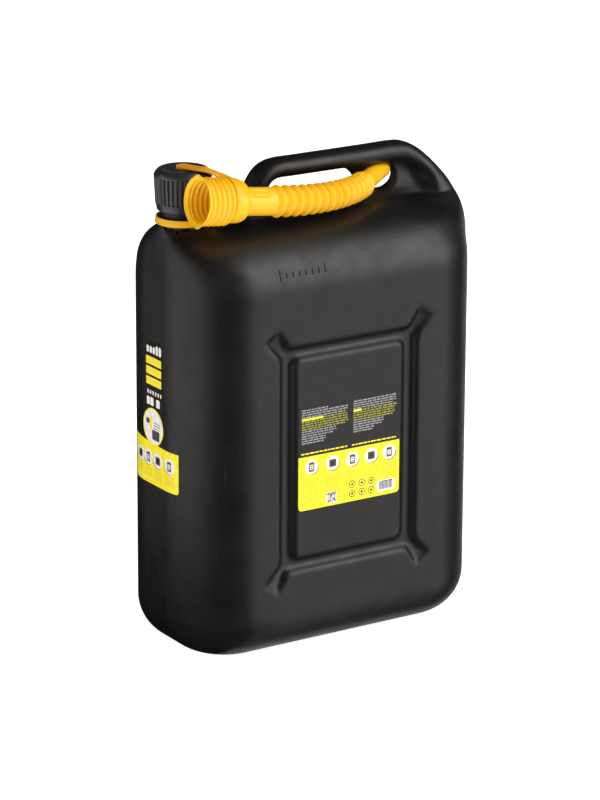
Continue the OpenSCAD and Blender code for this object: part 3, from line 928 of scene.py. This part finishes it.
def make_end_label(materials):
    dice = random.Random(5)
    sheet = Print(on_left_end)
    near, far, low, top = -42.0, 46.0, end_low[2], end_high[2]
    # Above the yellow field the film narrows from both sides to the width of the marks.
    w, bottom, _ = block(near, far, low, top, 4.0, 3.0)
    edge_w = [near, -41.5, -34, -20, -14.5, -13.5, 18, 24, 37, 44, far]
    upper = np.interp(w, edge_w, [233, 238, 256.5, 274.5, 292, top, top, 292, 262, 240, 236])
    sheet.add((w, bottom, upper), FILM, -0.3, FILM_T)
    ink(sheet, (w, bottom, 231.5 + 4.5 * ((w - near) / (far - near)) ** 2), YELLOW)
    mark_left, mark_right, mark_top = -12.8, 18.0, 327.5
    for row in range(3):
        z = mark_top - 11.2 * row
        ink(sheet, block(mark_left, mark_right, z - 8.6, z, 0.8, 3.0), YELLOW)
    for i in range(5):
        w0 = mark_left + 6.25 * i
        high = 341.5 if i in (0, 1) else 339.0
        ink(sheet, block(w0, w0 + 4.6, 331.5, high, 1.6, 2.0), WHITE)
    for i in range(6):
        w0 = mark_left + 5.2 * i
        ink(sheet, block(w0, w0 + 2.6, 286.3, 290.6, 0.6, 2.0), WHITE)
    for w0, width in ((-9.5, 7.5), (3.0, 7.0), (11.0, 6.0)):
        ink(sheet, block(w0, w0 + width, 274.0, 283.0, 1.4, 2.0), WHITE)
    centre_w, centre_z, big_r = 4.3, 251.0, 20.5
    ink(sheet, disc(centre_w, centre_z, big_r), YELLOW, 2)
    ink(sheet, disc(centre_w, centre_z, 0.92 * big_r), WHITE, 3)
    # Three plain blocks, each with its left, right, low and high edges from the disc's centre
    blocks = ((-13, 2, -14, -3, GREY), (2, 7, -4, 12, YELLOW), (7, 14, 2, 8, GREY))
    for left, right, under, over, slot in blocks:
        edges = (centre_w + left, centre_w + right, centre_z + under, centre_z + over)
        ink(sheet, block(*edges, 2.0, 2.0), slot, 4)
    print_lines(sheet, centre_w - 14, centre_w - 1, centre_z + 5, 3, 3.0, GREY, dice, 4)
    for kind, w0 in enumerate((32.0, 14.5, -5.0, -27.5)):
        picture_disc(sheet, w0, 215.5, 8.6, tall=kind % 2 == 1)
        print_lines(sheet, w0 - 7, w0 + 8, 203.5, 4, 2.7, AMBER, dice, 2)
    piece = sheet.finish("label_end_print", materials)
    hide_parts("label_end")
    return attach(piece, "root")


def make_eyelet_bead(material):
    """The raised bead round the eyelet, on both faces of the web."""
    bead_r = 1.25
    ring, quads = lathe(arc((EYELET_R + 2.4, WEB_HALF_T - 0.1), bead_r, 0, 330, 11), 96, looped=True)
    across, up, out = ring.T
    back, front = (EYELET + np.stack([across, side * out, up], 1) for side in (1, -1))
    faces = quads + [tuple(len(back) + i for i in reversed(quad)) for quad in quads]
    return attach(new_mesh("eyelet_bead", np.concatenate([back, front]), faces, material), "root")


def make_fill_mark(material):
    """A raised level line with short ticks on the front shoulder."""
    sheet = Print(on_shoulder)
    left, right, z = -85.0, -27.0, 418.0
    sheet.add(block(left, right, z, z + 2.0, 0.9), 0, -0.4, 1.0)
    for i in range(8):
        x = left + (right - left - 2.4) * i / 7
        tall = 11.0 if i % 7 == 0 else 7.5
        sheet.add(block(x, x + 2.4, z + 0.4, z + tall, 1.0), 0, -0.4, 0.95)
    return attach(sheet.finish("fill_mark", [material]), "root")


# ---- materials


def add_node(tree, kind, inputs=None, **settings):
    """A node with its settings made and its inputs set to values or linked to outputs."""
    node = tree.nodes.new(kind)
    for key, value in settings.items():
        setattr(node, key, value)
    for key, value in (inputs or {}).items():
        if isinstance(value, bpy.types.NodeSocket):
            tree.links.new(value, node.inputs[key])
        else:
            node.inputs[key].default_value = value
    return node


def start_material(name):
    material = bpy.data.materials.new(name)
    material.use_nodes = True
    tree = material.node_tree
    place = add_node(tree, "ShaderNodeTexCoord").outputs["Object"]
    return material, tree, tree.nodes["Principled BSDF"], place


def noise(tree, place, size, detail=3.0, stretch=(1, 1, 1), roughness=0.5):
    """Noise whose features are about size millimetres across."""
    scaled = add_node(tree, "ShaderNodeMapping", {"Vector": place, "Scale": stretch}).outputs[0]
    settings = {"Vector": scaled, "Scale": 1 / (size * MM), "Detail": detail, "Roughness": roughness}
    return add_node(tree, "ShaderNodeTexNoise", settings).outputs[0]


def spread(tree, value, low, high, to_low=0.0, to_high=1.0):
    """Maps low..high smoothly to to_low..to_high."""
    inputs = {"Value": value, "From Min": low, "From Max": high, "To Min": to_low, "To Max": to_high}
    return add_node(tree, "ShaderNodeMapRange", inputs, interpolation_type="SMOOTHSTEP").outputs[0]


def mix(tree, factor, a, b):
    node = add_node(tree, "ShaderNodeMix", {0: factor}, data_type="RGBA")
    for slot, value in ((6, a), (7, b)):
        if isinstance(value, bpy.types.NodeSocket):
            tree.links.new(value, node.inputs[slot])
        else:
            node.inputs[slot].default_value = (*value, 1)
    return node.outputs[2]


def calculate(kind, tree, a, b):
    return add_node(tree, "ShaderNodeMath", {0: a, 1: b}, operation=kind).outputs[0]


plus, times, larger = (partial(calculate, kind) for kind in ("ADD", "MULTIPLY", "MAXIMUM"))


def finish_shader(tree, shader, base, rough, layers):
    """Wires a shader; the layers are stacked bumps, each (height 0 to 1, depth in millimetres)."""
    tree.links.new(base, shader.inputs["Base Color"])
    tree.links.new(rough, shader.inputs["Roughness"])
    normal = None
    for height, depth in layers:
        inputs = {"Height": height, "Distance": depth * MM, "Strength": 1.0}
        if normal is not None:
            inputs["Normal"] = normal
        normal = add_node(tree, "ShaderNodeBump", inputs).outputs["Normal"]
    tree.links.new(normal, shader.inputs["Normal"])


def moulded(name, colour, shade, worn_and_highlight_colour, gloss, grain, peel, scuffs=0.5, specular=0.5, painted_shade_colour=None):
    """Moulded plastic: cloudy colour, uneven gloss, fine grain, orange peel, scuffs and lighter edges,
    which are abrasion on the black parts and a painted highlight on the yellow parts' crests, plus
    painted shade from a point weight where asked.
    """
    material, tree, shader, place = start_material(name)
    cloud = spread(tree, noise(tree, place, 70, 4), 0.3, 0.7)
    base = mix(tree, cloud, colour, shade)
    # Painted shade: a point weight darkens the colour towards a darker orange where the strap lies on
    # the cap.
    if painted_shade_colour:
        layer = add_node(tree, "ShaderNodeAttribute", attribute_name="painted_shade_toward_cap").outputs["Fac"]
        base = mix(tree, spread(tree, layer, 0.0, 1.0), base, painted_shade_colour)
    # Convex edges and crests take the edge colour: abrasion on the black parts, a painted highlight on
    # the yellow parts' crests.
    edge = add_node(tree, "ShaderNodeNewGeometry").outputs["Pointiness"]
    patchy = spread(tree, noise(tree, place, 7, 5), 0.42, 0.66)
    wear_and_highlight = times(tree, spread(tree, edge, 0.525, 0.6), patchy)
    streaks = noise(tree, place, 5, 3, (1, 1, 0.09), 0.65)
    scratches = noise(tree, place, 1.6, 2, (0.05, 1, 1), 0.6)
    rubbed = larger(tree, spread(tree, streaks, 0.6, 0.76), spread(tree, scratches, 0.66, 0.78))
    rubbed = times(tree, rubbed, scuffs)
    wear_and_highlight = larger(tree, wear_and_highlight, times(tree, rubbed, 0.5))
    base = mix(tree, wear_and_highlight, base, worn_and_highlight_colour)
    uneven = spread(tree, noise(tree, place, 22, 4), 0.3, 0.72, gloss - 0.05, gloss + 0.05)
    rough = plus(tree, uneven, times(tree, rubbed, 0.14))
    shader.inputs["Specular IOR Level"].default_value = specular
    fine = noise(tree, place, 0.55, 2)
    wavy = noise(tree, place, 9, 2)
    finish_shader(tree, shader, base, rough, [(wavy, peel), (fine, grain), (rubbed, -0.02)])
    return material


def printed(name, colour, gloss=0.34):
    """Ink on film: faint mottling, a little dust and an uneven gloss."""
    material, tree, shader, place = start_material(name)
    mottled = spread(tree, noise(tree, place, 4, 4), 0.35, 0.7)
    base = mix(tree, mottled, colour, tuple(0.88 * c for c in colour))
    dust = spread(tree, noise(tree, place, 0.9, 3, roughness=0.7), 0.68, 0.8)
    base = mix(tree, times(tree, dust, 0.2), base, (0.4, 0.38, 0.35))
    rough = spread(tree, noise(tree, place, 16, 4), 0.3, 0.7, gloss - 0.05, gloss + 0.07)
    layers = [(noise(tree, place, 12, 2), 0.05), (noise(tree, place, 0.8, 2), 0.004)]
    finish_shader(tree, shader, base, rough, layers)
    return material


# Each moulded plastic: its colour, its shade, its edge colour (abraded edges on the black parts, a
# painted highlight on the yellow parts' crests), then gloss, grain and peel.
BLACK_SKIN = (0.0065, 0.0062, 0.006)
tank_black = moulded(
    "tank_polyethylene", BLACK_SKIN, (0.0045, 0.0043, 0.0042), (0.022, 0.021, 0.02), 0.4, 0.03, 0.12
)
neck_black = moulded(
    "neck_polyethylene", BLACK_SKIN, (0.005,) * 3, (0.03,) * 3, 0.42, 0.02, 0.03
)
cap_black = moulded(
    "cap_polypropylene", (0.02, 0.02, 0.021), (0.014, 0.014, 0.015), (0.09,) * 3,
    0.32, 0.015, 0.02, specular=1.0,
)
rubber = moulded(
    "gasket_rubber", (0.02, 0.02, 0.021), (0.014,) * 3, (0.05,) * 3, 0.7, 0.04, 0.02
)
spout_yellow = moulded(
    "spout_polyethylene", (0.93, 0.485, 0.007), (0.89, 0.44, 0.006), (1.0, 0.64, 0.06),
    0.33, 0.012, 0.05, scuffs=0.3,
)
# The bore is a lighter copy of the spout's yellow: painted light inside the tube.
spout_inside_painted_light = moulded(
    "spout_bore_painted_light", (1.0, 0.6, 0.006), (0.97, 0.55, 0.005), (0.97, 0.55, 0.03),
    0.42, 0.012, 0.05, scuffs=0.3,
)
# The strap carries painted shade, darker towards the cap.
strap_yellow = moulded(
    "strap_polyethylene", (0.87, 0.45, 0.008), (0.84, 0.41, 0.006), (0.98, 0.6, 0.06),
    0.36, 0.012, 0.04, scuffs=0.4, painted_shade_colour=(0.66, 0.27, 0.01),
)
# In the order of the slots FILM to PALE
inks = [
    printed("label_film_black", (0.004,) * 3, 0.32),
    printed("label_ink_yellow", (0.95, 0.78, 0.006)),
    printed("label_ink_white", (0.82, 0.8, 0.76)),
    printed("label_ink_grey", (0.06, 0.055, 0.06)),
    printed("label_ink_olive", (0.3, 0.27, 0.03)),
    printed("label_ink_amber", (0.62, 0.49, 0.006)),
    printed("label_ink_pale", (0.32, 0.31, 0.32)),
]

# ---- assembly

for piece, slot in (
    (make_tank(tank_black), "tank_black"),
    (make_eyelet_bead(tank_black), "tank_black"),
    (make_fill_mark(tank_black), "tank_black"),
    (make_cap(cap_black), "cap_black"),
    (make_stud(strap_yellow), "strap_yellow"),
    (make_socket(spout_yellow, spout_inside_painted_light), "spout_yellow"),
    (make_ring(spout_yellow), "strap_yellow"),
    (make_collar(spout_yellow), "strap_yellow"),
    (make_link(spout_yellow), "strap_yellow"),
    (make_strap(strap_yellow), "strap_yellow"),
    (make_folds(spout_yellow, spout_inside_painted_light), "spout_yellow"),
    (make_nozzle(spout_yellow, spout_inside_painted_light), "spout_yellow"),
    (make_front_label(inks), "label_film"),
    (make_end_label(inks), "label_film"),
):
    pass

CARRIED_OVER = {"filler_neck": neck_black, "cap_gasket": rubber}
for node_name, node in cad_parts.items():
    node.data.materials.clear()
    node.data.materials.append(CARRIED_OVER.get(node_name, tank_black))

# ---- stage


def make_floor():
    material, tree, shader, place = start_material("paper")
    tone = mix(tree, noise(tree, place, 400, 2), (0.84,) * 3, (0.86,) * 3)
    tree.links.new(tone, shader.inputs["Base Color"])
    shader.inputs["Roughness"].default_value = 0.9
    shader.inputs["Specular IOR Level"].default_value = 0.1
    shader.inputs["Emission Color"].default_value = (1, 1, 1, 1)
    shader.inputs["Emission Strength"].default_value = 0.9
    half = 9000
    square = [(-half, -half, 0), (half, -half, 0), (half, half, 0), (-half, half, 0)]
    floor = new_mesh("floor", square, [(0, 1, 2, 3)], material)
    floor.visible_glossy = False


def make_flag():
    """A black card on the floor beside the can's left end, seen only in its reflections."""
    material, tree, shader, place = start_material("black_card")
    tone = mix(tree, noise(tree, place, 50, 2), (0.002,) * 3, (0.003,) * 3)
    tree.links.new(tone, shader.inputs["Base Color"])
    shader.inputs["Specular IOR Level"].default_value = 0
    turns = np.radians(np.linspace(-110, 70, 41))
    points = [(-r * math.cos(a), -r * math.sin(a), 2.0) for r in (150.0, 560.0) for a in turns]
    card = new_mesh("flag", points, grid_faces(2, len(turns), closed=False), material)
    card.visible_camera = card.visible_diffuse = card.visible_shadow = False
    card.visible_transmission = False


def band(tree, value, rise, fall):
    """One between two ramps over value: up over the pair rise and down over the pair fall."""
    return times(tree, spread(tree, value, *rise), spread(tree, value, *fall, 1.0, 0.0))


def make_world():
    """The studio as the can reflects it: white walls at the left, front right and back left."""
    world = bpy.data.worlds.new("studio")
    bpy.context.scene.world = world
    world.use_nodes = True
    tree = world.node_tree
    direction = add_node(tree, "ShaderNodeTexCoord").outputs["Generated"]
    axes = add_node(tree, "ShaderNodeSeparateXYZ", {0: direction}).outputs
    left_x = times(tree, axes["X"], -1.0)
    front_y = times(tree, axes["Y"], -1.0)
    # Degrees from the left-hand end, through the front at 90, to the right-hand end at 180
    turn = times(tree, calculate("ARCTAN2", tree, front_y, left_x), math.degrees(1))
    height = axes["Z"]
    # Each wall is a band over the turn, times its radiance over the height.
    left = band(tree, turn, (-66, -28), (16, 48))
    left = times(tree, left, spread(tree, height, 0.35, 0.6, 1.05, 0.0))
    right = band(tree, turn, (94, 124), (138, 160))
    for low, high, to_low, to_high in (
        (-0.28, 0.2, 1.15, 3.8),
        (-0.8, -0.38, 0.35, 1.0),
        (0.62, 0.86, 1.0, 0.0),
    ):
        right = times(tree, right, spread(tree, height, low, high, to_low, to_high))
    top = band(tree, turn, (100, 130), (160, 180))
    top = times(tree, top, band(tree, height, (0.5, 0.7), (0.8, 0.9)))
    back = band(tree, turn, (-172, -150), (-125, -104))
    back = times(tree, back, spread(tree, height, 0.0, 0.12, 0.6, 0.0))
    glow = plus(tree, plus(tree, left, right), plus(tree, top, back))
    ambient = 0.02
    background = tree.nodes["Background"]
    background.inputs["Color"].default_value = (1, 0.965, 0.945, 1)
    tree.links.new(plus(tree, glow, ambient), background.inputs["Strength"])


def softbox(name, direction, distance, size, radiance):
    """A rectangular lamp facing the can; the studio walls stand for it in reflections."""
    light = bpy.data.lights.new(name, "AREA")
    light.shape = "RECTANGLE"
    light.size, light.size_y = size
    light.energy = radiance * math.pi * size[0] * size[1]
    lamp = bpy.data.objects.new(name, light)
    middle = Vector((0, 0, 0.35))
    lamp.location = middle + Vector(direction).normalized() * distance
    lamp.rotation_mode = "QUATERNION"
    lamp.rotation_quaternion = (middle - lamp.location).to_track_quat("-Z", "Y")
    lamp.visible_glossy = False
    bpy.context.scene.collection.objects.link(lamp)


CAMERA_AZIMUTH, CAMERA_PITCH, CAMERA_ROLL = 0.5721, 0.3018, 0.0052
CAMERA_DISTANCE, FOCAL_LENGTH, SENSOR = 4.1176, 172.0, 36.0
CAMERA_SHIFT = (-0.0032, -0.0122)
LOOK_AT = (0, 0, TOP_Z / 2 * MM)


def make_camera():
    """The camera stands to the left of the front and looks down a little."""
    look = Vector(towards(math.pi / 2 - CAMERA_AZIMUTH, -CAMERA_PITCH))
    data = bpy.data.cameras.new("camera")
    data.sensor_fit = "VERTICAL"
    data.sensor_height = data.sensor_width = SENSOR
    data.lens = FOCAL_LENGTH
    data.shift_x, data.shift_y = CAMERA_SHIFT
    camera = bpy.data.objects.new("camera", data)
    camera.location = Vector(LOOK_AT) - look * CAMERA_DISTANCE
    camera.rotation_mode = "QUATERNION"
    camera.rotation_quaternion = look.to_track_quat("-Z", "Y") @ Quaternion((0, 0, 1), CAMERA_ROLL)
    bpy.context.scene.collection.objects.link(camera)
    bpy.context.scene.camera = camera


make_floor()
make_flag()
make_world()
softbox("key", (0.25, -0.7, 0.95), 2.0, (0.9, 0.9), 6.0)
softbox("overhead", (-0.25, -0.15, 1.0), 2.0, (1.2, 1.2), 2.0)
softbox("left_fill", (-1.0, -0.6, 0.3), 2.2, (1.2, 1.2), 1.6)
softbox("back_fill", (0.5, 1.0, 0.6), 2.2, (1.2, 1.2), 1.6)
make_camera()
bpy.context.scene.view_settings.view_transform = "Standard"
